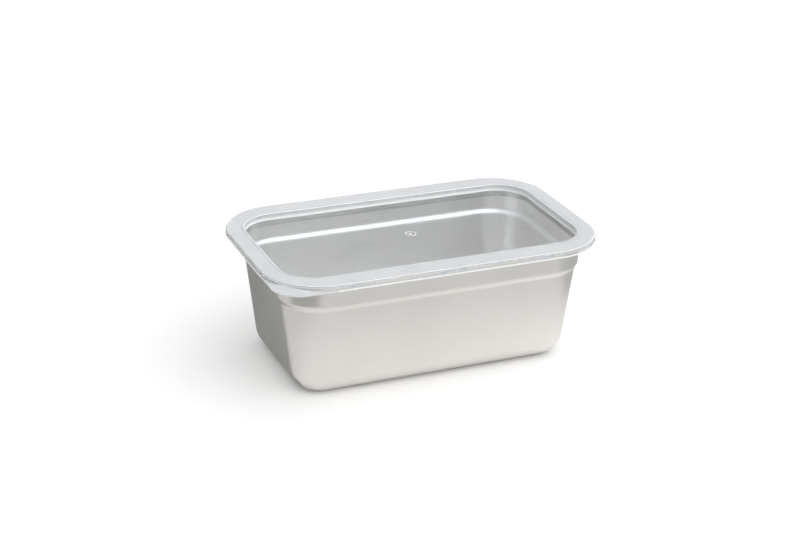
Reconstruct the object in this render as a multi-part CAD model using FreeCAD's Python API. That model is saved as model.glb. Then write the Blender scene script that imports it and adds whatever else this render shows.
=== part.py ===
"""A deep steel serving pan with its push-on lid, in millimetres, standing on its base.

The pan is one pressing of sheet steel: a flat flange round the mouth, a near-vertical band, a
stacking shoulder, a tapering body and a flat base. The lid is one moulding: a border that lies on
the flange, a skirt with snap lugs round it, and a window panel sunk into the mouth. Both are
built from one cross-section carried round a rounded rectangle, so every level of a piece shares
the same four corner centres. The origin is the middle of the base, and X runs along the pan.
"""
import FreeCAD, Part
import math
import os

from FreeCAD import Vector

# Pan
RIM_LENGTH = 265.0
RIM_WIDTH = 162.0
RIM_CORNER = 43.0          # corner radius of the flange's outer edge
PAN_HEIGHT = 100.0
SHEET = 0.8                # thickness of the steel
FLANGE = 9.5               # from the rim's edge to the outside of the band
RIM_BEND = 2.0             # radius under the flange, where it turns down
BAND_DEPTH = 20.5          # from the flange's top to where the shoulder starts
BAND_DRAFT = 1.0           # degrees
SHOULDER_STEP = 2.4        # how far the shoulder comes in
SHOULDER_BEND = 4.0        # radius of its lower bend, outside
WALL_DRAFT = 7.2           # degrees
BASE_BEND = 17.0           # outside radius between wall and base

# Lid
BORDER_PLATE = 1.2         # thickness of the border, which lies on the flange
SKIRT_WALL = 1.2
RIM_CLEARANCE = 1.5        # from the rim's edge to the inside of the skirt
SKIRT_DEPTH = 5.2          # from the border's top to the skirt's lower edge
BEAD_PROUD = 0.3           # bead along the skirt's lower edge
BEAD_HEIGHT = 1.0
LEDGE_DROP = 0.7           # step between the border and the skirt
LEDGE_WIDTH = 0.7
EDGE_ROUND = 0.35          # rounding of the border's outer edge
PLUG_CLEARANCE = 0.3       # from the pan's mouth to the plug round the window, at the ends
SIDE_BORDER_EXTRA = 4.3    # how much wider the border is along the sides than at the ends
PLUG_WALL = 0.9
PLUG_DRAFT = 0.6           # how far the plug comes in over its depth
WINDOW_DEPTH = 5.1         # from the border's top to the window's top
WINDOW_PLATE = 1.0
WINDOW_ROUND = 0.7         # rounding of the border's inner edge

# Snap lugs on the skirt
LUG_LENGTH = 20.0
LUG_HEIGHT = 1.4           # at the skirt
LUG_TIP = 0.35             # height at the lug's tip
LUG_BITE = 0.8             # how far a lug reaches under the rim
LUG_CLEARANCE = 0.3        # between the rim's underside and a lug
LUGS_PER_SIDE = 3
LUG_PITCH = 72.0

# Lift tab at one corner, and the moulding mark on the window
TAB_CORNER = 22.0
MARK_RADIUS = 4.5
MARK_WIDTH = 0.7
MARK_HEIGHT = 0.3
MARK_NUB_RADIUS = 1.0

Z_AXIS = Vector(0, 0, 1)

# Where the pieces meet
corner_x = RIM_LENGTH / 2 - RIM_CORNER
corner_y = RIM_WIDTH / 2 - RIM_CORNER
lid_top = PAN_HEIGHT + BORDER_PLATE
skirt_bottom = lid_top - SKIRT_DEPTH
skirt_inside = RIM_CORNER + RIM_CLEARANCE
skirt_outside = skirt_inside + SKIRT_WALL
window_top = lid_top - WINDOW_DEPTH


def line(start, end):
    return Part.LineSegment(start, end).toShape()


def arc(start, middle, end):
    return Part.Arc(start, middle, end).toShape()


def profile_point(radius, height):
    """A point of a cross-section: its distance from the corner's axis, and its height."""
    return Vector(radius, 0, height)


def direction(degrees):
    """The unit vector of a cross-section that leans from straight out towards straight down."""
    angle = math.radians(degrees)
    return Vector(math.cos(angle), 0, -math.sin(angle))


def polygon_face(points):
    """A flat face through points (radius, height) of a cross-section."""
    corners = [profile_point(*point) for point in points]
    edges = [line(a, b) for a, b in zip(corners, corners[1:] + corners[:1])]
    return Part.Face(Part.Wire(edges))


def bend(centre, radius, first, last):
    """The ends and the middle of an arc about centre, between two leans in degrees."""
    return [centre + direction(lean) * radius for lean in (first, (first + last) / 2, last)]


def carried_round(face):
    """A cross-section carried round the rounded rectangle, with its middle filled to match.

    The section stands on the axis of a corner. It turns a quarter at each corner and runs straight
    along each side. Where it reaches the axis, a slab of the same height fills the middle.
    """
    quarter = face.revolve(Vector(0, 0, 0), Z_AXIS, 90)
    pieces = []
    for turn in range(4):
        sign_x = 1 if turn in (0, 3) else -1
        sign_y = 1 if turn in (0, 1) else -1
        run = 2 * (corner_y if turn in (0, 2) else corner_x)
        side = face.extrude(Vector(0, -run, 0))
        for piece in (quarter.copy(), side):
            piece.rotate(Vector(0, 0, 0), Z_AXIS, 90 * turn)
            piece.translate(Vector(sign_x * corner_x, sign_y * corner_y, 0))
            pieces.append(piece)
    axis_edges = [edge for edge in face.Edges if edge.BoundBox.XMax < 1e-6]
    for edge in axis_edges:
        low = edge.BoundBox.ZMin
        middle = Part.makeBox(2 * corner_x, 2 * corner_y, edge.BoundBox.ZMax - low)
        middle.translate(Vector(-corner_x, -corner_y, low))
        pieces.append(middle)
    return pieces[0].multiFuse(pieces[1:]).removeSplitter()


def shoulder_lean(lower, upper):
    """The shoulder's steepest lean, at which its two bends cross the given step."""
    reach = lower * math.cos(math.radians(WALL_DRAFT)) + upper * math.cos(math.radians(BAND_DRAFT))
    return math.degrees(math.acos((reach - SHOULDER_STEP) / (lower + upper)))


def pan_bends():
    """The pan's four bends from base to rim: centre, outside radius, side and leans.

    A side of 1 is a bend about a centre inside the pan, and -1 one about a centre outside it.
    """
    upper_bend = SHOULDER_BEND + SHEET
    lean = shoulder_lean(SHOULDER_BEND, upper_bend)
    rim_radius = RIM_CORNER - FLANGE + RIM_BEND * math.cos(math.radians(BAND_DRAFT))
    rim_centre = profile_point(rim_radius, PAN_HEIGHT - SHEET - RIM_BEND)
    band_top = rim_centre - direction(BAND_DRAFT) * RIM_BEND

    fall = band_top.z - (PAN_HEIGHT - BAND_DEPTH)
    band_foot = band_top - Vector(fall * math.tan(math.radians(BAND_DRAFT)), 0, fall)
    upper_centre = band_foot - direction(BAND_DRAFT) * upper_bend
    crossing = upper_centre + direction(lean) * upper_bend
    lower_centre = crossing + direction(lean) * SHOULDER_BEND
    wall_top = lower_centre - direction(WALL_DRAFT) * SHOULDER_BEND

    base_edge = direction(WALL_DRAFT) * BASE_BEND
    fall = wall_top.z - (BASE_BEND + base_edge.z)
    wall_foot = wall_top - Vector(fall * math.tan(math.radians(WALL_DRAFT)), 0, fall)
    base_centre = wall_foot - base_edge
    return [
        (base_centre, BASE_BEND, 1, 90, WALL_DRAFT),
        (lower_centre, SHOULDER_BEND, -1, WALL_DRAFT, lean),
        (upper_centre, upper_bend, 1, lean, BAND_DRAFT),
        (rim_centre, RIM_BEND, -1, BAND_DRAFT, 90),
    ]


def pan_surface(depth):
    """One face of the sheet as joined edges from the axis to the rim, depth in from the outside."""
    edges = []
    last = profile_point(0, depth)
    for centre, radius, side, first_lean, last_lean in pan_bends():
        start, middle, end = bend(centre, side * (radius - side * depth), first_lean, last_lean)
        if (start - last).Length > 1e-6:
            edges.append(line(last, start))
        edges.append(arc(start, middle, end))
        last = end
    edge_start = profile_point(RIM_CORNER - SHEET / 2, last.z)
    edges.append(line(last, edge_start))
    return edges


def make_pan():
    outside = pan_surface(0)
    inside = pan_surface(SHEET)
    rim = arc(
        profile_point(RIM_CORNER - SHEET / 2, PAN_HEIGHT - SHEET),
        profile_point(RIM_CORNER, PAN_HEIGHT - SHEET / 2),
        profile_point(RIM_CORNER - SHEET / 2, PAN_HEIGHT),
    )
    axis = line(profile_point(0, 0), profile_point(0, SHEET))
    wire = Part.Wire(Part.__sortEdges__(outside + [rim] + inside + [axis]))
    return carried_round(Part.Face(wire))


def rounded_rectangle(length, width, corner, height):
    """A closed wire, one straight run and one quarter circle at a time."""
    edges = []
    for turn in range(4):
        sign_x = 1 if turn in (0, 3) else -1
        sign_y = 1 if turn in (0, 1) else -1
        centre = Vector(sign_x * (length / 2 - corner), sign_y * (width / 2 - corner), height)
        points = []
        for degrees in (0, 45, 90):
            angle = math.radians(degrees + 90 * turn)
            points.append(centre + Vector(math.cos(angle), math.sin(angle), 0) * corner)
        if edges:
            edges.append(line(edges[-1].Vertexes[-1].Point, points[0]))
        edges.append(arc(*points))
    edges.append(line(edges[-1].Vertexes[-1].Point, edges[0].Vertexes[0].Point))
    return Part.Wire(edges)


def slab(length, width, corner, low, high):
    """An upright slab with a rounded-rectangle outline."""
    outline = rounded_rectangle(length, width, corner, low)
    return Part.Face(outline).extrude(Vector(0, 0, high - low))


def drafted_slab(length, width, corner, low, high, draft):
    """A slab of the given size at its top that comes in by draft on each side at its bottom."""
    bottom = rounded_rectangle(length - 2 * draft, width - 2 * draft, corner - draft, low)
    top = rounded_rectangle(length, width, corner, high)
    return Part.makeLoft([bottom, top], True, True)


def plug_outline(inset):
    """Length, width and corner radius of the plug, inset from its outside."""
    mouth = FLANGE + SHEET + PLUG_CLEARANCE + inset
    length = RIM_LENGTH - 2 * mouth
    width = RIM_WIDTH - 2 * (mouth + SIDE_BORDER_EXTRA)
    return length, width, RIM_CORNER - mouth - SIDE_BORDER_EXTRA


def make_cap():
    """The border and the skirt, with the border's plate run on across the mouth."""
    ledge_top = lid_top - LEDGE_DROP
    plateau = skirt_outside - LEDGE_WIDTH
    bead = skirt_outside + BEAD_PROUD
    return carried_round(polygon_face([
        (0, PAN_HEIGHT),
        (skirt_inside, PAN_HEIGHT),
        (skirt_inside, skirt_bottom),
        (bead, skirt_bottom),
        (bead, skirt_bottom + BEAD_HEIGHT),
        (skirt_outside, skirt_bottom + BEAD_HEIGHT),
        (skirt_outside, ledge_top),
        (plateau, ledge_top),
        (plateau, lid_top - EDGE_ROUND),
        (plateau - EDGE_ROUND, lid_top),
        (0, lid_top),
    ]))


def make_tab():
    """The lip that fills out one corner of the skirt's lower edge, to lift the lid by."""
    grow = 2 * (skirt_outside + BEAD_PROUD - RIM_CORNER)
    lip_top = skirt_bottom + BEAD_HEIGHT
    lip = slab(RIM_LENGTH + grow, RIM_WIDTH + grow, TAB_CORNER, skirt_bottom, lip_top)
    inner = 2 * RIM_CLEARANCE
    channel = slab(RIM_LENGTH + inner, RIM_WIDTH + inner, skirt_inside, skirt_bottom, PAN_HEIGHT)
    quarter = Part.makeBox(RIM_LENGTH, RIM_WIDTH, PAN_HEIGHT)
    quarter.translate(Vector(-corner_x - RIM_LENGTH, -corner_y - RIM_WIDTH, 0))
    return lip.common(quarter).cut(channel)


def make_lug(reach):
    """A wedge at the skirt that points to -X from the skirt's wall, reach from the middle."""
    top = PAN_HEIGHT - SHEET - LUG_CLEARANCE
    wall = reach + SKIRT_WALL / 2
    inside = reach - RIM_CLEARANCE - LUG_BITE
    section = polygon_face([
        (inside, top - LUG_TIP),
        (inside, top),
        (wall, top),
        (wall, top - LUG_HEIGHT),
        (reach, top - LUG_HEIGHT),
    ])
    section.translate(Vector(0, -LUG_LENGTH / 2, 0))
    return section.extrude(Vector(0, LUG_LENGTH, 0))


def make_lugs():
    """The lugs along both sides, and one in the middle of each end."""
    lugs = []
    for turn in range(4):
        along_side = turn in (1, 3)
        half = RIM_WIDTH / 2 if along_side else RIM_LENGTH / 2
        count = LUGS_PER_SIDE if along_side else 1
        for number in range(count):
            lug = make_lug(half + RIM_CLEARANCE)
            lug.translate(Vector(0, (number - (count - 1) / 2) * LUG_PITCH, 0))
            lug.rotate(Vector(0, 0, 0), Z_AXIS, 90 * turn)
            lugs.append(lug)
    return lugs


def make_mark():
    """A raised ring and a nub in the middle of the window."""
    base = window_top - WINDOW_PLATE / 2
    height = WINDOW_PLATE / 2 + MARK_HEIGHT
    foot = Vector(0, 0, base)
    ring = Part.makeCylinder(MARK_RADIUS, height, foot)
    hollow = Part.makeCylinder(MARK_RADIUS - MARK_WIDTH, height, foot)
    nub = Part.makeCylinder(MARK_NUB_RADIUS, height, foot)
    return ring.cut(hollow).fuse(nub)


def make_lid():
    bottom = window_top - WINDOW_PLATE
    plug = drafted_slab(*plug_outline(0), bottom, lid_top - BORDER_PLATE / 2, PLUG_DRAFT)
    recess = drafted_slab(*plug_outline(PLUG_WALL), window_top, lid_top, PLUG_DRAFT)
    lid = make_cap().fuse(plug).cut(recess)
    inner_edge = [
        edge for edge in lid.Edges
        if edge.BoundBox.ZMin > lid_top - 1e-6 and edge.distToShape(recess)[0] < 1e-6
    ]
    lid = lid.makeFillet(WINDOW_ROUND, inner_edge)
    lid = lid.multiFuse([make_tab(), make_mark()] + make_lugs())
    return lid.removeSplitter()


def only_solid(shape, name):
    """The one solid of a shape, which stops the build if the piece came out in several."""
    if len(shape.Solids) != 1 or not shape.isValid():
        raise RuntimeError(f"{name}: {len(shape.Solids)} solids, valid {shape.isValid()}")
    return shape.Solids[0]


os.makedirs("parts", exist_ok=True)
for node, shape in (("pan", make_pan()), ("lid", make_lid())):
    solid = only_solid(shape, node)
    solid.exportStep(f"parts/{node}.step")
    size = solid.optimalBoundingBox()
    print(f"{node}: {solid.Volume:.0f} mm3, from z {size.ZMin:.2f},"
          f" {size.XLength:.2f} x {size.YLength:.2f} x {size.ZLength:.2f} mm")
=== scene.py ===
import math

import bpy
from mathutils import Matrix, Vector


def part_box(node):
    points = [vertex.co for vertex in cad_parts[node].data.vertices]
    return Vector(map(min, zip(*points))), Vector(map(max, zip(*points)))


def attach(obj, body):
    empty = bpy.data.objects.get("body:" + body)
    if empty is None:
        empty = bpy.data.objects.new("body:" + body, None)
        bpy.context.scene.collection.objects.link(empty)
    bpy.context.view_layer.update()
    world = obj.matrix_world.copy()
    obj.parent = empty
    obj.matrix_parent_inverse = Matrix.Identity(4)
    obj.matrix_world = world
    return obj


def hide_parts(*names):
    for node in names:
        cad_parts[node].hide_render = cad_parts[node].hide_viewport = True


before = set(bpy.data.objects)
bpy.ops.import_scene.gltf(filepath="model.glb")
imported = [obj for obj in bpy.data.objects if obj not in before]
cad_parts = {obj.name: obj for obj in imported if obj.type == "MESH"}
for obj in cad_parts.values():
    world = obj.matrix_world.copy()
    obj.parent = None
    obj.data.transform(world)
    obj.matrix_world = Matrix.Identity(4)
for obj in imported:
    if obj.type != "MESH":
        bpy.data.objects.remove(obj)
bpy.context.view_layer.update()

MM = 0.001
LEVEL = 0.01 * MM          # heights this close count as the same
CORNER_STEPS = 28          # faces round each corner of the pan and the lid

# Steel pan
RIM_CORNER = 43.0 * MM
SHEET = 0.8 * MM
FLANGE = 9.5 * MM
FLANGE_EDGE = 1.0 * MM     # flat strip along the flange's cut edge
CUT_EDGE_ROUND = 0.25 * MM
CUT_EDGE_ANGLE = 60        # degrees
PAN_SMOOTH = 40            # degrees up to which an edge shades smooth
LID_SMOOTH = 35
RIM_BEND = 2.0 * MM
BAND_DEPTH = 20.5 * MM
BAND_DRAFT = 1.0           # degrees
SHOULDER_STEP = 2.4 * MM
SHOULDER_BEND = 5.5 * MM
WALL_DRAFT = 7.2           # degrees
BASE_BEND = 17.0 * MM

# Plastic lid: the skirt and the border
RIM_CLEARANCE = 1.5 * MM
SKIRT_WALL = 1.2 * MM
SKIRT_DEPTH = 5.2 * MM
SKIRT_ROUND = 0.35 * MM
BEAD_PROUD = 0.3 * MM
BEAD_HEIGHT = 1.0 * MM
LEDGE_DROP = 1.5 * MM
LEDGE_WIDTH = 0.7 * MM
LEDGE_HOLLOW = 0.25 * MM   # how far the border's side is set in behind the ledge
BORDER_ROUND = 0.4 * MM
BORDER_EDGE = 1.2 * MM
MILKY_MARGIN = 0.5 * MM    # how far past the steel rim the plastic stays milky
LIFT = 0.04 * MM           # keeps the border's underside clear of the steel
HAIR = 0.03 * MM           # keeps two moulded shapes from sharing a face

# Plastic lid: the sunk window
RIB_HEIGHT = 0.2 * MM      # rib round the window, above the border
RIB_WIDTH = 2.2 * MM
RIB_ROUND = 0.25 * MM
MOUTH_ROUND = 0.6 * MM
RECESS_CORNER = 27.2 * MM
RECESS_LENGTH = 242.0 * MM
RECESS_WIDTH = 130.4 * MM
PLUG_WALL = 0.9 * MM
PLUG_DRAFT = 0.6 * MM
WINDOW_DEPTH = 5.1 * MM
WINDOW_PLATE = 1.0 * MM
FOOT_HEIGHT = 0.5 * MM     # where the recess wall starts to bend into the panel
FOOT_LEAN = 0.05 * MM

# Plastic lid: the tab, the lugs and the mark
TAB_CORNER = 22.0 * MM
TAB_REACH_X = 86.0 * MM    # where the tab's lip dies out along each side
TAB_REACH_Y = 35.0 * MM
TAB_SLOPE_LENGTH = 12.0 * MM
TAB_SLOPE_TOP = 3.2 * MM
CHANNEL_CLEARANCE = 0.4 * MM
LUGS_PER_SIDE = 3
LUG_PITCH = 72.0 * MM
LUG_LENGTH = 20.0 * MM
LUG_HEIGHT = 1.4 * MM
LUG_DEPTH = 3.1 * MM
LUG_INSET = 0.75 * MM      # from the skirt's inside to the middle of a lug
LUG_GAP = 0.3 * MM
LUG_TAPER = 1.0 * MM
LUG_ROUND = 0.15 * MM
SWELLING_INSET = 0.44 * MM
SWELLING_RISE = 2.1 * MM
SWELLING_THICKNESS = 0.62 * MM
SWELLING_HEIGHT = 1.1 * MM
MARK_RADIUS = 4.5 * MM
MARK_WIDTH = 0.8 * MM
MARK_HEIGHT = 0.2 * MM
MARK_NUB = 1.2 * MM

# Finishes: two ends of each colour, between which the surface drifts
STEEL_DARK, STEEL_LIGHT = (0.785, 0.765, 0.735), (0.815, 0.795, 0.765)
STEEL_SCRATCHED = (0.86, 0.85, 0.835)
STEEL_FOOT_DARK = (0.70, 0.69, 0.67)
STEEL_ROUGHNESS = 0.30
STEEL_GRAIN_DEPTH = 0.004 * MM
STEEL_CLOUDING = 0.05      # what each effect does to the roughness
STEEL_SMEARING = 0.05
STEEL_FOOT_DULLING = 0.10
STEEL_SCRATCHING = 0.06
FOOT_DARK_FULL = 0.5 * MM       # the steel is darker and duller towards the foot, fully up to here
FOOT_DARK_END = 7.0 * MM        # and not at all from here
PLASTIC_SMEARING = 0.04
PLASTIC_SCRATCHING = 0.05
SMEAR_SHADE = 0.93         # how dark a smear is on plastic
SMEAR_FINENESS = 7.0       # how much finer smears are than their patches
SCRATCH_STRETCH = 0.035
SCRATCH_PATCH_SCALE = 45.0
MILKY = ((0.785, 0.80, 0.82), (0.815, 0.83, 0.845))
CLEAR = ((0.915, 0.96, 1.0), (0.93, 0.97, 1.0))
THIN = ((0.92, 0.93, 0.935), (0.94, 0.945, 0.95))
# Pale plastic that stands for painted highlights and edge glow on the lid
PAINTED_GLOW = ((0.92, 0.93, 0.94), (0.95, 0.955, 0.96))
MILKY_ZONE, CLEAR_ZONE, THIN_ZONE, PAINTED_GLOW_ZONE = range(4)

# Studio
FLOOR_SIZE = 12
FLOOR_HEIGHT = -0.2 * MM
FLOOR_ROUGHNESS = 0.9
FLOOR_COLOUR = (0.93, 0.93, 0.93, 1)
FLOOR_LIT = (0.115, 0.062, 0.1)        # inside this half box, steel sees the floor at its palest
FLOOR_FALL_OFF = (-0.03, 0.12)         # metres from it
FLOOR_GREY = 0.62
FLOOR_LIFT = 0.06
CARD_HEIGHT = 0.5 * MM
CARD_TINT = (1.0, 1.02, 1.01)
CARDS = {
    "studio_flag": (((-0.116, -0.045), (-0.10, -0.045), (-0.52, 0.65), (-0.14, 0.65)), 0.275),
    "studio_flag_right": (((0.20, -0.20), (0.70, -0.45), (0.20, 0.30), (0.70, 0.60)), 0.50),
    "studio_flag_corner": (
        ((-0.51, 0.02), (-0.26, -0.045), (-0.20, -0.47), (-0.147, -0.215)), 0.30),
}
WORLD_LIGHT = 0.56
KEY_STRENGTH = 2.0
KEY_WIDTH = 95             # degrees
KEY_TOWARDS = (0.30, -0.33, 0.88)
CAMERA_TURN = (-23.0, 23.31, 1.10)     # azimuth, elevation and roll in degrees
CAMERA_DISTANCE = 1.4122
CAMERA_SHIFT = (0.00648, 0.06259)      # to its left and up
CAMERA_LENS = 79.916
CAMERA_SENSOR = 36.0
CAMERA_CLIP = (0.05, 50)

pan_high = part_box("pan")[1]
lid_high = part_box("lid")[1]
rim_centres = (pan_high.x - RIM_CORNER, pan_high.y - RIM_CORNER)
recess_centres = (RECESS_LENGTH / 2 - RECESS_CORNER, RECESS_WIDTH / 2 - RECESS_CORNER)


# ---------------------------------------------------------------- modelling

def make_active(piece):
    bpy.ops.object.select_all(action="DESELECT")
    piece.select_set(True)
    bpy.context.view_layer.objects.active = piece


def edit(piece, mode="FACE", select="DESELECT"):
    make_active(piece)
    bpy.ops.object.mode_set(mode="EDIT")
    bpy.ops.mesh.select_mode(type=mode)
    bpy.ops.mesh.select_all(action=select)


def finish_edit():
    bpy.ops.object.mode_set(mode="OBJECT")


def place(piece):
    """Writes a piece's place, turn and size into its mesh."""
    make_active(piece)
    bpy.ops.object.transform_apply(location=True, rotation=True, scale=True)
    return piece


def new_shape(add_primitive, **settings):
    """The object that an operator adds, which is then the active one."""
    bpy.ops.object.select_all(action="DESELECT")
    add_primitive(**settings)
    return bpy.context.active_object


def apply_modifier(piece, kind, **settings):
    make_active(piece)
    modifier = piece.modifiers.new(kind.title(), kind)
    for name, value in settings.items():
        setattr(modifier, name, value)
    bpy.ops.object.modifier_apply(modifier=modifier.name)


def smooth(piece, degrees):
    """Smooth shading over every edge that turns by less than an angle."""
    make_active(piece)
    bpy.ops.object.shade_smooth_by_angle(angle=math.radians(degrees))


def combine(piece, tool, operation):
    apply_modifier(piece, "BOOLEAN", operation=operation, object=tool, solver="EXACT",
                   material_mode="TRANSFER")
    bpy.data.objects.remove(tool)


def joined(pieces):
    make_active(pieces[0])
    for piece in pieces[1:]:
        piece.select_set(True)
    bpy.ops.object.join()
    return pieces[0]


def arc_points(centre, radius, first, last, steps=6):
    """Points of a bend in a cross-section, between two leans from straight out to straight down."""
    points = []
    for step in range(steps + 1):
        lean = math.radians(first + (last - first) * step / steps)
        points.append((centre[0] + radius * math.cos(lean), centre[1] - radius * math.sin(lean)))
    return points


def brow(reach, height, curve, steps=4):
    """A rounded edge where an upright side at reach turns in to a level top at height."""
    points = []
    for step in range(steps + 1):
        turn = math.radians(90 * step / steps)
        points.append((reach - curve + curve * math.cos(turn),
                       height - curve + curve * math.sin(turn)))
    return points


def fall(reach, height, curve, steps=4):
    """A rounded edge where a level top at height turns down an upright side that faces inwards."""
    points = []
    for step in range(steps + 1):
        turn = math.radians(90 * step / steps)
        points.append((reach + curve - curve * math.sin(turn),
                       height - curve + curve * math.cos(turn)))
    return points


def near(reach, height, *offsets):
    """Points of a cross-section at offsets from one place, out and up in millimetres."""
    return [(reach + out * MM, height + up * MM) for out, up in offsets]


def rounded_plate(name, centres, reach, height):
    """A flat rounded rectangle facing up, its edge reach out from four corner centres."""
    plate = new_shape(bpy.ops.mesh.primitive_plane_add, size=2, location=(0, 0, height))
    plate.name = name
    plate.scale = (centres[0] + reach, centres[1] + reach, 1)
    place(plate)
    edit(plate, "VERT", "SELECT")
    bpy.ops.mesh.bevel(offset=reach, segments=CORNER_STEPS, affect="VERTICES", profile=0.5)
    finish_edit()
    return plate


def pressed(name, centres, section):
    """A skin that carries a cross-section, given from its edge inwards, round a plate's outline."""
    plate = rounded_plate(name, centres, *section[0])
    edit(plate, "FACE", "SELECT")
    for (reach, height), (next_reach, next_height) in zip(section, section[1:]):
        bpy.ops.mesh.inset(thickness=max(reach - next_reach, 0), depth=next_height - height,
                           use_even_offset=True, use_boundary=True)
    finish_edit()
    return plate


def open_middle(skin):
    """Takes out the last, flat face of a skin."""
    edit(skin)
    finish_edit()
    largest = max(skin.data.polygons, key=lambda face: face.area)
    largest.select = True
    bpy.ops.object.mode_set(mode="EDIT")
    bpy.ops.mesh.delete(type="FACE")
    finish_edit()


def bridge_rims(skin, height):
    """Joins the open edges that lie at one height."""
    edit(skin, "EDGE")
    bpy.ops.mesh.select_non_manifold(extend=False)
    finish_edit()
    for edge in skin.data.edges:
        ends = [skin.data.vertices[v].co.z for v in edge.vertices]
        if edge.select and max(abs(z - height) for z in ends) > LEVEL:
            edge.select = False
    for vertex in skin.data.vertices:
        if abs(vertex.co.z - height) > LEVEL:
            vertex.select = False
    bpy.ops.object.mode_set(mode="EDIT")
    bpy.ops.mesh.bridge_edge_loops()
    finish_edit()


def with_holding_edges(section, shortest=4 * MM, margin=0.5 * MM):
    """The cross-section with an edge close to both ends of each long run, so it shades flat."""
    points = [section[0]]
    for start, end in zip(section, section[1:]):
        run = math.dist(start, end)
        if run > shortest:
            for share in (margin / run, 1 - margin / run):
                points.append(tuple(a + (b - a) * share for a, b in zip(start, end)))
        points.append(end)
    return points


# ---------------------------------------------------------------- the pan

def moved(point, degrees, length):
    """A point of a cross-section, moved along a lean from straight out towards straight down."""
    angle = math.radians(degrees)
    return point[0] + math.cos(angle) * length, point[1] - math.sin(angle) * length


def pan_section():
    """The inside of the pan, from the edge of the flange down to the floor."""
    rim_top = pan_high.z
    band_lean = math.radians(BAND_DRAFT)
    wall_lean = math.radians(WALL_DRAFT)
    upper = SHOULDER_BEND + SHEET
    reach = SHOULDER_BEND * math.cos(wall_lean) + upper * math.cos(band_lean)
    lean = math.degrees(math.acos((reach - SHOULDER_STEP) / (SHOULDER_BEND + upper)))

    rim_reach = RIM_CORNER - FLANGE + RIM_BEND * math.cos(band_lean)
    rim_centre = (rim_reach, rim_top - SHEET - RIM_BEND)
    band_top = moved(rim_centre, BAND_DRAFT, -RIM_BEND)
    drop = band_top[1] - (rim_top - BAND_DEPTH)
    band_foot = (band_top[0] - drop * math.tan(band_lean), band_top[1] - drop)
    upper_centre = moved(band_foot, BAND_DRAFT, -upper)
    lower_centre = moved(upper_centre, lean, upper + SHOULDER_BEND)
    wall_top = moved(lower_centre, WALL_DRAFT, -SHOULDER_BEND)
    drop = wall_top[1] - BASE_BEND + BASE_BEND * math.sin(wall_lean)
    wall_foot = (wall_top[0] - drop * math.tan(wall_lean), wall_top[1] - drop)
    base_centre = moved(wall_foot, WALL_DRAFT, -BASE_BEND)

    section = [(RIM_CORNER, rim_top), (RIM_CORNER - FLANGE_EDGE, rim_top)]
    section += arc_points(rim_centre, -RIM_BEND - SHEET, 90, BAND_DRAFT, steps=8)
    section += arc_points(upper_centre, upper - SHEET, BAND_DRAFT, lean)
    section += arc_points(lower_centre, -SHOULDER_BEND - SHEET, lean, WALL_DRAFT)[1:]
    section += arc_points(base_centre, BASE_BEND - SHEET, WALL_DRAFT, 90, steps=12)
    return with_holding_edges(section)


def make_pan():
    pan = pressed("steel_pan", rim_centres, pan_section())
    apply_modifier(pan, "SOLIDIFY", thickness=SHEET, offset=-1, use_even_offset=True,
                   use_quality_normals=True)
    apply_modifier(pan, "BEVEL", width=CUT_EDGE_ROUND, segments=3, limit_method="ANGLE",
                   angle_limit=math.radians(CUT_EDGE_ANGLE))
    smooth(pan, PAN_SMOOTH)
    return pan


# ---------------------------------------------------------------- the lid

top = lid_high.z
foot = top - SKIRT_DEPTH
bead_top = foot + BEAD_HEIGHT
border = top - RIB_HEIGHT
ledge = top - LEDGE_DROP
underside = pan_high.z + LIFT
skirt_inside = RIM_CORNER + RIM_CLEARANCE
skirt_outside = skirt_inside + SKIRT_WALL
bead = skirt_outside + BEAD_PROUD
window_top = top - WINDOW_DEPTH
window_bottom = window_top - WINDOW_PLATE
painted_glow_top = window_top + 2.0 * MM      # the recess wall carries a painted highlight below this height
border_seam = RIM_CORNER - 5.0 * MM    # where the border's outer and inner skins meet
recess_seam = RECESS_CORNER + 5.0 * MM


def skirt_top_section():
    """The outside of the lid from the foot of the skirt to the flat of the border."""
    plateau = skirt_outside - LEDGE_WIDTH
    section = near(bead, foot, (-0.15, 0), (-0.04, 0.06), (0, 0.2))
    section += near(bead, bead_top, (0, -0.25), (-0.08, -0.08))
    section += near(skirt_outside, bead_top, (0, 0), (0, 0.15))
    section += brow(skirt_outside, ledge, SKIRT_ROUND)
    section += near(plateau, ledge, (-0.05, 0), (-0.25, 0.05), (-0.25, 0.3))
    section += brow(plateau - LEDGE_HOLLOW, border, BORDER_ROUND)
    section += [(plateau - BORDER_EDGE, border), (border_seam, border)]
    return section


def recess_section():
    """The window's surround: a groove, a rib, the recess wall and the rim of the panel."""
    rib = RECESS_CORNER + RIB_WIDTH
    section = [(recess_seam, border)]
    section += near(rib, border, (1.5, 0), (1.1, 0), (0.8, -0.2), (0.45, -0.25), (0.2, -0.15))
    section += brow(rib, top, RIB_ROUND)
    section += fall(RECESS_CORNER, top, MOUTH_ROUND)
    wall_foot = RECESS_CORNER - PLUG_DRAFT
    wall_height = top - MOUTH_ROUND - window_top - FOOT_HEIGHT
    share = (painted_glow_top - window_top - FOOT_HEIGHT) / wall_height
    section += [(wall_foot + FOOT_LEAN + share * PLUG_DRAFT, painted_glow_top)]
    section += [(wall_foot + FOOT_LEAN, window_top + FOOT_HEIGHT)]
    section += near(wall_foot, window_top, (-0.12, 0.2), (-0.3, 0.04), (-0.6, 0), (-2, 0))
    return section


def skirt_under_section():
    """The inside of the skirt and the outer part of the border's underside."""
    section = [(skirt_inside, foot)]
    section += near(skirt_inside, underside, (0, -0.3), (-0.3, 0))
    section += [(border_seam, underside)]
    return section


def plug_section():
    """The plug that hangs in the pan's mouth, from the border down to the panel's underside."""
    reach = RECESS_CORNER + PLUG_WALL
    low = reach - PLUG_DRAFT
    section = [(recess_seam, underside)]
    section += near(reach, underside, (0.2, 0), (-0.02, -0.2))
    section += near(low, window_bottom, (0.03, 0.4), (-0.12, 0.1), (-0.4, 0), (-2, 0))
    return section


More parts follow.
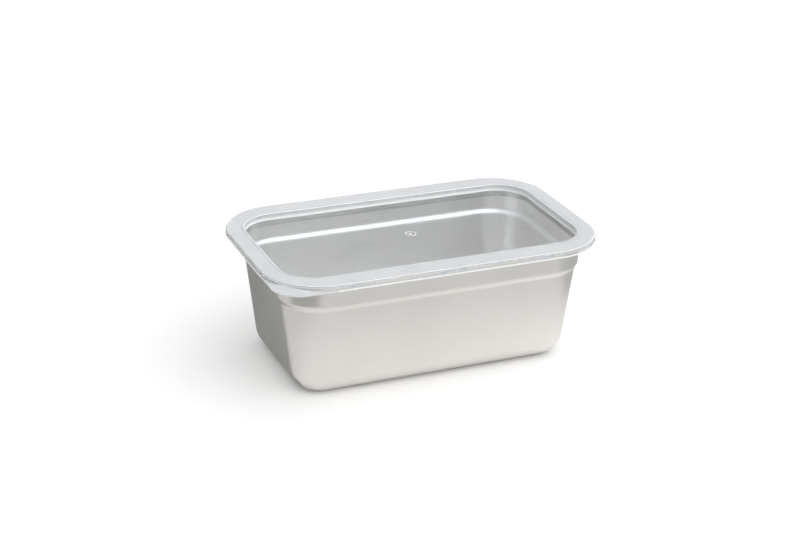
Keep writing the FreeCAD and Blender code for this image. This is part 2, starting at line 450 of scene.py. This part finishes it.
def make_lid_skin(name, outer, inner, height):
    """One side of the lid: the outer skin round the rim joined to the inner one at the window."""
    skin = pressed(name, rim_centres, outer)
    open_middle(skin)
    skin = joined([skin, pressed(name + "_middle", recess_centres, inner)])
    bridge_rims(skin, height)
    return skin


def make_tab():
    """The lip that fills out one corner of the skirt and slopes up to the border."""
    half_x = rim_centres[0] + bead - HAIR
    half_y = rim_centres[1] + bead - HAIR
    section = near(TAB_CORNER, foot + HAIR, (-0.15, 0), (0, 0.2))
    section += brow(TAB_CORNER, bead_top, SKIRT_ROUND)
    section += near(TAB_CORNER, bead_top, (-0.8, 0.03))
    section += [(TAB_CORNER - TAB_SLOPE_LENGTH, foot + TAB_SLOPE_TOP)]
    tab = pressed("lid_tab", (half_x - TAB_CORNER, half_y - TAB_CORNER), section)
    edit(tab, "EDGE")
    bpy.ops.mesh.select_non_manifold(extend=False)
    bpy.ops.mesh.edge_face_add()
    for cut, away in (((-TAB_REACH_X, 0, 0), (1, 0, 0)), ((0, -TAB_REACH_Y, 0), (0, 1, 0))):
        bpy.ops.mesh.select_all(action="SELECT")
        bpy.ops.mesh.bisect(plane_co=cut, plane_no=away, use_fill=True, clear_outer=True)
    finish_edit()
    channel = rounded_plate("lid_channel", rim_centres, skirt_inside + CHANNEL_CLEARANCE,
                            pan_high.z)
    apply_modifier(channel, "SOLIDIFY", thickness=SKIRT_DEPTH, offset=-1)
    combine(tab, channel, "DIFFERENCE")
    return tab


def on_skirt(number, count, across_end, depth):
    """A place on the skirt, depth in from its outside: along the front, or at the left end."""
    if across_end:
        return -(rim_centres[0] + skirt_outside - depth), 0
    return (number - (count - 1) / 2) * LUG_PITCH, -(rim_centres[1] + skirt_outside - depth)


def make_swelling(number, count, across_end):
    """A shallow lens on the skirt's outside, over a lug."""
    x, y = on_skirt(number, count, across_end, SWELLING_INSET)
    swelling = new_shape(bpy.ops.mesh.primitive_uv_sphere_add, segments=32, ring_count=16,
                         radius=1, location=(x, y, foot + SWELLING_RISE))
    along, through = LUG_LENGTH / 2, SWELLING_THICKNESS
    swelling.scale = ((through, along, SWELLING_HEIGHT) if across_end
                      else (along, through, SWELLING_HEIGHT))
    return place(swelling)


def make_lug(number, count, across_end):
    """A wedge inside the skirt that grips under the rim, thick at the skirt, thin at its tip."""
    x, y = on_skirt(number, count, across_end, SKIRT_WALL + LUG_INSET)
    high = pan_high.z - SHEET - LUG_GAP
    low = high - LUG_HEIGHT
    lug = new_shape(bpy.ops.mesh.primitive_cube_add, size=1, location=(x, y, (low + high) / 2))
    lug.scale = ((LUG_DEPTH, LUG_LENGTH, high - low) if across_end
                 else (LUG_LENGTH, LUG_DEPTH, high - low))
    place(lug)
    edit(lug, "VERT")
    finish_edit()
    for vertex in lug.data.vertices:
        inner = vertex.co.x > x if across_end else vertex.co.y > y
        vertex.select = inner and vertex.co.z < (low + high) / 2
    bpy.ops.object.mode_set(mode="EDIT")
    bpy.ops.transform.translate(value=(0, 0, LUG_TAPER))
    finish_edit()
    apply_modifier(lug, "BEVEL", width=LUG_ROUND, segments=2)
    return lug


def turned_copy(piece, name):
    """A copy on the opposite side of the lid, with a mesh of its own."""
    twin = piece.copy()
    twin.data = piece.data.copy()
    twin.name = name
    bpy.context.collection.objects.link(twin)
    twin.rotation_euler = (0, 0, math.pi)
    return place(twin)


def make_mark():
    """A thin ring with a nub in it, moulded on the middle of the window."""
    ring = new_shape(bpy.ops.mesh.primitive_torus_add, major_segments=72, minor_segments=12,
                     location=(0, 0, window_top), major_radius=MARK_RADIUS - MARK_WIDTH / 2,
                     minor_radius=MARK_WIDTH / 2)
    place(ring)
    nub = new_shape(bpy.ops.mesh.primitive_uv_sphere_add, segments=32, ring_count=16,
                    radius=MARK_NUB, location=(0, 0, window_top))
    nub.scale = (1, 1, MARK_HEIGHT / MARK_NUB)
    place(nub)
    return joined([ring, nub])


def reach_of(point, centres):
    """How far out a point lies from the corner centres of a rounded rectangle."""
    return math.hypot(max(abs(point.x) - centres[0], 0), max(abs(point.y) - centres[1], 0))


def colour_zones(lid):
    """Milky plastic on the border, clearer thin walls, a clear panel, and pale plastic as painted
    highlights on the moulded edges.
    """
    for plastic in (milky, clear, thin, painted_glow):
        lid.data.materials.append(plastic)
    slack = 2 * LEVEL
    rib_face = top - 3 * LEVEL
    surround = RECESS_CORNER + PLUG_WALL + 5 * LEVEL
    for face in lid.data.polygons:
        height = face.center.z
        if reach_of(face.center, recess_centres) < surround:
            if height < window_top + slack:
                face.material_index = CLEAR_ZONE
            # The lower recess wall and the rounded mouth of the rib get a painted highlight.
            elif height < painted_glow_top or top - MOUTH_ROUND < height < rib_face:
                face.material_index = PAINTED_GLOW_ZONE
            elif height < rib_face:
                face.material_index = THIN_ZONE
        elif reach_of(face.center, rim_centres) < RIM_CORNER + MILKY_MARGIN:
            face.material_index = MILKY_ZONE if height > underside - slack else THIN_ZONE
        # The bead and the border's rounded edge get a painted highlight.
        elif height < bead_top or border - BORDER_ROUND < height < border - slack:
            face.material_index = PAINTED_GLOW_ZONE
        elif height < ledge - slack:
            face.material_index = THIN_ZONE


def make_lid():
    upper = make_lid_skin("plastic_lid", skirt_top_section(), recess_section(), border)
    lower = make_lid_skin("lid_underside", skirt_under_section(), plug_section(), underside)
    edit(lower, "FACE", "SELECT")
    bpy.ops.mesh.flip_normals()
    finish_edit()
    lid = joined([upper, lower])
    bridge_rims(lid, foot)
    colour_zones(lid)
    swellings, lugs = [], []
    places = [(number, LUGS_PER_SIDE, False) for number in range(LUGS_PER_SIDE)] + [(0, 1, True)]
    for number, count, across_end in places:
        for make, made in ((make_swelling, swellings), (make_lug, lugs)):
            fitting = make(number, count, across_end)
            made += [fitting, turned_copy(fitting, "fitting")]
    # The lugs are painted pale so they show through the skirt as highlight streaks; the mark is
    # painted pale as its highlight.
    for tool, plastic in ((make_tab(), milky), (joined(lugs), painted_glow), (joined(swellings), thin),
                          (make_mark(), painted_glow)):
        tool.data.materials.clear()
        tool.data.materials.append(plastic)
        combine(lid, tool, "UNION")
    smooth(lid, LID_SMOOTH)
    return lid


# ---------------------------------------------------------------- materials

def add_node(tree, kind, settings=None, values=None):
    """A node with its settings, and the values of its inputs by name or number."""
    node = tree.nodes.new("ShaderNode" + kind)
    for name, value in (settings or {}).items():
        setattr(node, name, value)
    for name, value in (values or {}).items():
        node.inputs[name].default_value = value
    return node


def new_group(name, inputs, outputs):
    """An empty node group with named number inputs and outputs."""
    group = bpy.data.node_groups.new(name, "ShaderNodeTree")
    for socket, value in inputs.items():
        made = group.interface.new_socket(socket, in_out="INPUT", socket_type="NodeSocketFloat")
        made.default_value = value
    for socket in outputs:
        group.interface.new_socket(socket, in_out="OUTPUT", socket_type="NodeSocketFloat")
    given = group.nodes.new("NodeGroupInput")
    result = group.nodes.new("NodeGroupOutput")
    return group, given, result


def masked(tree, value, low, high, first=0.0, last=1.0):
    """The value as a soft step, which is first up to low and last from high."""
    ramp = add_node(tree, "MapRange", {"interpolation_type": "SMOOTHSTEP"},
                    {"From Min": low, "From Max": high, "To Min": first, "To Max": last})
    tree.links.new(value, ramp.inputs["Value"])
    return ramp.outputs["Result"]


def worked(tree, operation, *terms):
    """Two or three terms, each a value or a number, put through one sum."""
    node = add_node(tree, "Math", {"operation": operation})
    for socket, value in zip(node.inputs, terms):
        if isinstance(value, (int, float)):
            socket.default_value = value
        else:
            tree.links.new(value, socket)
    return node.outputs[0]


def noise_at(tree, where, scale, **values):
    """The strength of a noise at a place; its scale is a socket or a number."""
    noise = add_node(tree, "TexNoise", values=values)
    tree.links.new(where, noise.inputs["Vector"])
    if isinstance(scale, float):
        noise.inputs["Scale"].default_value = scale
    else:
        tree.links.new(scale, noise.inputs["Scale"])
    return noise.outputs["Fac"]


def grain_group():
    """Fine grain and slow clouds, for a satin or moulded surface."""
    group, given, result = new_group(
        "surface grain", {"Grain Scale": 1500.0, "Cloud Scale": 18.0}, ["Grain", "Clouds"])
    where = add_node(group, "TexCoord").outputs["Object"]
    for socket, scale, detail in (("Grain", "Grain Scale", 2.0), ("Clouds", "Cloud Scale", 3.0)):
        noise = noise_at(group, where, given.outputs[scale], Detail=detail)
        group.links.new(noise, result.inputs[socket])
    return group


def handling_group():
    """Faint smears where hands and cloths have been."""
    group, given, result = new_group(
        "handling marks", {"Mark Scale": 30.0, "Amount": 1.0}, ["Marks"])
    where = add_node(group, "TexCoord").outputs["Object"]
    scale = given.outputs["Mark Scale"]
    patches = noise_at(group, where, scale, Detail=1.0, Distortion=0.8)
    finer = worked(group, "MULTIPLY", scale, SMEAR_FINENESS)
    smears = noise_at(group, where, finer, Detail=4.0, Distortion=0.4)
    both = worked(group, "MULTIPLY", masked(group, patches, low=0.48, high=0.68),
                  masked(group, smears, low=0.35, high=0.70))
    marks = worked(group, "MULTIPLY", both, given.outputs["Amount"])
    group.links.new(marks, result.inputs["Marks"])
    return group


def scratch_group():
    """Hairline scratches in three directions, broken up into patches."""
    group, given, result = new_group(
        "hairline scratches", {"Spacing": 900.0, "Amount": 1.0}, ["Scratches"])
    where = add_node(group, "TexCoord").outputs["Object"]
    lines = 0.0
    for tilt, turn in ((0.3, 0.5), (-0.8, 1.7), (1.2, -0.6)):
        turned = add_node(group, "Mapping", values={"Rotation": (tilt, tilt / 2, turn),
                                                    "Scale": (SCRATCH_STRETCH, 1, 1)})
        group.links.new(where, turned.inputs["Vector"])
        noise = noise_at(group, turned.outputs["Vector"], given.outputs["Spacing"], Detail=1.0)
        lines = worked(group, "MAXIMUM", masked(group, noise, low=0.72, high=0.84), lines)
    patches = noise_at(group, where, SCRATCH_PATCH_SCALE, Detail=2.0)
    broken = worked(group, "MULTIPLY", lines, masked(group, patches, low=0.42, high=0.62))
    scratched = worked(group, "MULTIPLY", broken, given.outputs["Amount"])
    group.links.new(scratched, result.inputs["Scratches"])
    return group


def use_group(tree, group, **values):
    """A group's node, with the values of its inputs; an underscore stands for a space."""
    node = add_node(tree, "Group", {"node_tree": group})
    for name, value in values.items():
        node.inputs[name.replace("_", " ")].default_value = value
    return node


def blended(tree, factor, first, second):
    """A colour between two, by a factor; each is a socket or three numbers."""
    mix = add_node(tree, "Mix", {"data_type": "RGBA"})
    tree.links.new(factor, mix.inputs[0])
    for socket, colour in ((mix.inputs[6], first), (mix.inputs[7], second)):
        if isinstance(colour, tuple):
            socket.default_value = (*colour, 1)
        else:
            tree.links.new(colour, socket)
    return mix.outputs[2]


def raised(tree, shader, height, distance):
    """Bump of a real depth in metres, for a height between 0 and 1."""
    bump = add_node(tree, "Bump", values={"Strength": 1.0, "Distance": distance})
    tree.links.new(height, bump.inputs["Height"])
    tree.links.new(bump.outputs["Normal"], shader.inputs["Normal"])


def new_material(name):
    material = bpy.data.materials.new(name)
    material.use_nodes = True
    tree = material.node_tree
    tree.nodes.clear()
    output = add_node(tree, "OutputMaterial")
    shader = add_node(tree, "BsdfPrincipled")
    tree.links.new(shader.outputs["BSDF"], output.inputs["Surface"])
    return material, tree, shader, output


def steel_material():
    """Satin sheet steel: slightly cloudy, with hairlines, faint smears, and darker and duller
    towards the foot.
    """
    material, tree, shader, _ = new_material("satin stainless steel")
    shader.inputs["Metallic"].default_value = 1.0
    grain = use_group(tree, surface_grain, Grain_Scale=2200.0, Cloud_Scale=16.0)
    marks = use_group(tree, handling, Mark_Scale=24.0, Amount=1.0).outputs["Marks"]
    lines = use_group(tree, scratches, Spacing=1300.0, Amount=0.35).outputs["Scratches"]
    where = add_node(tree, "TexCoord")
    height = add_node(tree, "SeparateXYZ")
    tree.links.new(where.outputs["Object"], height.inputs["Vector"])
    # The steel is darker and duller near the foot, in patches.
    above = masked(tree, height.outputs["Z"], low=FOOT_DARK_FULL, high=FOOT_DARK_END)
    foot_dark = worked(tree, "MULTIPLY", worked(tree, "SUBTRACT", 1.0, above),
                  masked(tree, grain.outputs["Clouds"], low=0.3, high=0.6))
    clouds = masked(tree, grain.outputs["Clouds"], low=0.3, high=0.7)
    colour = blended(tree, clouds, STEEL_DARK, STEEL_LIGHT)
    colour = blended(tree, lines, colour, STEEL_SCRATCHED)
    colour = blended(tree, foot_dark, colour, STEEL_FOOT_DARK)
    tree.links.new(colour, shader.inputs["Base Color"])
    rough = worked(tree, "MULTIPLY_ADD", clouds, STEEL_CLOUDING,
                   STEEL_ROUGHNESS - STEEL_CLOUDING / 2)
    for operation, effect, amount in (("ADD", marks, STEEL_SMEARING), ("ADD", foot_dark, STEEL_FOOT_DULLING),
                                      ("SUBTRACT", lines, STEEL_SCRATCHING)):
        rough = worked(tree, operation, rough, worked(tree, "MULTIPLY", effect, amount))
    tree.links.new(rough, shader.inputs["Roughness"])
    raised(tree, shader, worked(tree, "SUBTRACT", grain.outputs["Grain"], lines),
           STEEL_GRAIN_DEPTH)
    return material


def let_lamps_through(tree, shader, output, share):
    """Rays from lamps pass a shader by this share, so that the inside is lit."""
    let_light = add_node(tree, "BsdfTransparent", values={"Color": (*share, 1)})
    rays = add_node(tree, "LightPath")
    mix = add_node(tree, "MixShader")
    tree.links.new(rays.outputs["Is Shadow Ray"], mix.inputs["Fac"])
    tree.links.new(shader.outputs["BSDF"], mix.inputs[1])
    tree.links.new(let_light.outputs["BSDF"], mix.inputs[2])
    tree.links.new(mix.outputs["Shader"], output.inputs["Surface"])


def plastic_material(name, colours, roughness, transmission, share, moulding, smear, ior=1.49):
    """Moulded plastic: colour and shine vary a little with flow, smears and hairlines."""
    material, tree, shader, output = new_material(name)
    shader.inputs["IOR"].default_value = ior
    shader.inputs["Transmission Weight"].default_value = transmission
    grain = use_group(tree, surface_grain, Grain_Scale=1100.0, Cloud_Scale=22.0)
    marks = use_group(tree, handling, Mark_Scale=32.0, Amount=1.0).outputs["Marks"]
    lines = use_group(tree, scratches, Spacing=1600.0, Amount=0.3).outputs["Scratches"]
    clouds = masked(tree, grain.outputs["Clouds"], low=0.3, high=0.7)
    smeared = tuple(SMEAR_SHADE * part for part in colours[0])
    colour = blended(tree, clouds, *colours)
    colour = blended(tree, worked(tree, "MULTIPLY", marks, smear), colour, smeared)
    tree.links.new(colour, shader.inputs["Base Color"])
    rough = worked(tree, "MULTIPLY_ADD", marks, PLASTIC_SMEARING, roughness)
    rough = worked(tree, "ADD", rough, worked(tree, "MULTIPLY", lines, PLASTIC_SCRATCHING))
    tree.links.new(rough, shader.inputs["Roughness"])
    raised(tree, shader, worked(tree, "SUBTRACT", grain.outputs["Grain"], lines), moulding)
    if share:
        let_lamps_through(tree, shader, output, share)
    return material


# ---------------------------------------------------------------- pieces

surface_grain = grain_group()
handling = handling_group()
scratches = scratch_group()

pan = make_pan()
pan.data.materials.append(steel_material())
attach(pan, "root")
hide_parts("pan")

milky = plastic_material("milky lid plastic", MILKY, roughness=0.12, transmission=0.5,
                         share=(0.6, 0.615, 0.63), moulding=0.003 * MM, smear=0.5)
clear = plastic_material("clear lid plastic", CLEAR, roughness=0.03, transmission=1.0,
                         share=(0.97, 0.985, 1.0), moulding=0.0008 * MM, smear=0.6, ior=1.57)
thin = plastic_material("thin lid plastic", THIN, roughness=0.07, transmission=0.85,
                        share=(0.8, 0.81, 0.82), moulding=0.002 * MM, smear=0.5)
# Pale plastic that paints highlights and edge glow onto edges, lugs and the mark.
painted_glow = plastic_material("frosted lid plastic", PAINTED_GLOW, roughness=0.45, transmission=0.1,
                           share=None, moulding=0.003 * MM, smear=0.3)
lid = make_lid()
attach(lid, "root")
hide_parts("lid")


# ---------------------------------------------------------------- studio

def add_floor():
    """Pale paper. Seen in the steel, it falls off to grey away from the pan."""
    floor = new_shape(bpy.ops.mesh.primitive_plane_add, size=FLOOR_SIZE,
                      location=(0, 0, FLOOR_HEIGHT))
    floor.name = "studio_floor"
    place(floor)
    material, tree, shader, _ = new_material("studio floor")
    shader.inputs["Roughness"].default_value = FLOOR_ROUGHNESS
    shader.inputs["Specular IOR Level"].default_value = 0.0
    outside = add_node(tree, "TexCoord").outputs["Object"]
    for operation, other in (("ABSOLUTE", None), ("SUBTRACT", FLOOR_LIT), ("MAXIMUM", (0, 0, 0))):
        step = add_node(tree, "VectorMath", {"operation": operation},
                        {1: other} if other else None)
        tree.links.new(outside, step.inputs[0])
        outside = step.outputs[0]
    distance = add_node(tree, "VectorMath", {"operation": "LENGTH"})
    tree.links.new(outside, distance.inputs[0])
    grey = masked(tree, distance.outputs["Value"], *FLOOR_FALL_OFF, first=1.0, last=FLOOR_GREY)
    rays = add_node(tree, "LightPath")
    seen = add_node(tree, "Mix", {"data_type": "RGBA"}, {6: FLOOR_COLOUR})
    tree.links.new(rays.outputs["Is Glossy Ray"], seen.inputs[0])
    tree.links.new(grey, seen.inputs[7])
    tree.links.new(seen.outputs[2], shader.inputs["Base Color"])
    shader.inputs["Emission Color"].default_value = (1, 1, 1, 1)
    lift = worked(tree, "MULTIPLY", rays.outputs["Is Camera Ray"], FLOOR_LIFT)
    tree.links.new(lift, shader.inputs["Emission Strength"])
    floor.data.materials.append(material)


def add_card(name, corners, grey):
    """A grey card low over the floor, which only shows in the steel."""
    card = new_shape(bpy.ops.mesh.primitive_plane_add, size=1, location=(0, 0, CARD_HEIGHT))
    card.name = name
    for vertex, corner in zip(card.data.vertices, corners):
        vertex.co.x, vertex.co.y = corner
    place(card)
    card.visible_camera = card.visible_diffuse = False
    card.visible_transmission = card.visible_shadow = False
    material, _, shader, _ = new_material(name)
    shader.inputs["Base Color"].default_value = (0, 0, 0, 1)
    shader.inputs["Specular IOR Level"].default_value = 0.0
    shader.inputs["Emission Color"].default_value = (*(grey * part for part in CARD_TINT), 1)
    shader.inputs["Emission Strength"].default_value = 1.0
    card.data.materials.append(material)


def add_world():
    """A white surround that lights the room less than it shows."""
    world = bpy.data.worlds.new("studio")
    bpy.context.scene.world = world
    world.use_nodes = True
    tree = world.node_tree
    tree.nodes.clear()
    output = add_node(tree, "OutputWorld")
    background = add_node(tree, "Background", values={"Color": (1, 1, 1, 1)})
    rays = add_node(tree, "LightPath").outputs
    seen = worked(tree, "MAXIMUM", rays["Is Camera Ray"], rays["Is Glossy Ray"])
    seen = worked(tree, "MAXIMUM", seen, rays["Is Transmission Ray"])
    strength = masked(tree, seen, low=0.0, high=1.0, first=WORLD_LIGHT)
    tree.links.new(strength, background.inputs["Strength"])
    tree.links.new(background.outputs["Background"], output.inputs["Surface"])


def add_key():
    light = bpy.data.lights.new("key", "SUN")
    light.energy = KEY_STRENGTH
    light.angle = math.radians(KEY_WIDTH)
    key = bpy.data.objects.new("key", light)
    bpy.context.collection.objects.link(key)
    key.rotation_euler = Vector(KEY_TOWARDS).to_track_quat("Z", "Y").to_euler()


def add_camera():
    azimuth, elevation, roll = (math.radians(turn) for turn in CAMERA_TURN)
    back = Vector((math.sin(azimuth) * math.cos(elevation),
                   -math.cos(azimuth) * math.cos(elevation), math.sin(elevation)))
    level = Vector((math.cos(azimuth), math.sin(azimuth), 0))
    upright = back.cross(level)
    across = level * math.cos(roll) + upright * math.sin(roll)
    up = upright * math.cos(roll) - level * math.sin(roll)
    data = bpy.data.cameras.new("camera")
    data.sensor_width = CAMERA_SENSOR
    data.lens = CAMERA_LENS
    data.clip_start, data.clip_end = CAMERA_CLIP
    camera = bpy.data.objects.new("camera", data)
    bpy.context.collection.objects.link(camera)
    camera.location = back * CAMERA_DISTANCE - across * CAMERA_SHIFT[0] + up * CAMERA_SHIFT[1]
    camera.rotation_mode = "QUATERNION"
    camera.rotation_quaternion = Matrix((across, up, back)).transposed().to_quaternion()
    bpy.context.scene.camera = camera


add_floor()
for name, (corners, grey) in CARDS.items():
    add_card(name, corners, grey)
add_world()
add_key()
add_camera()
bpy.context.scene.view_settings.view_transform = "Standard"
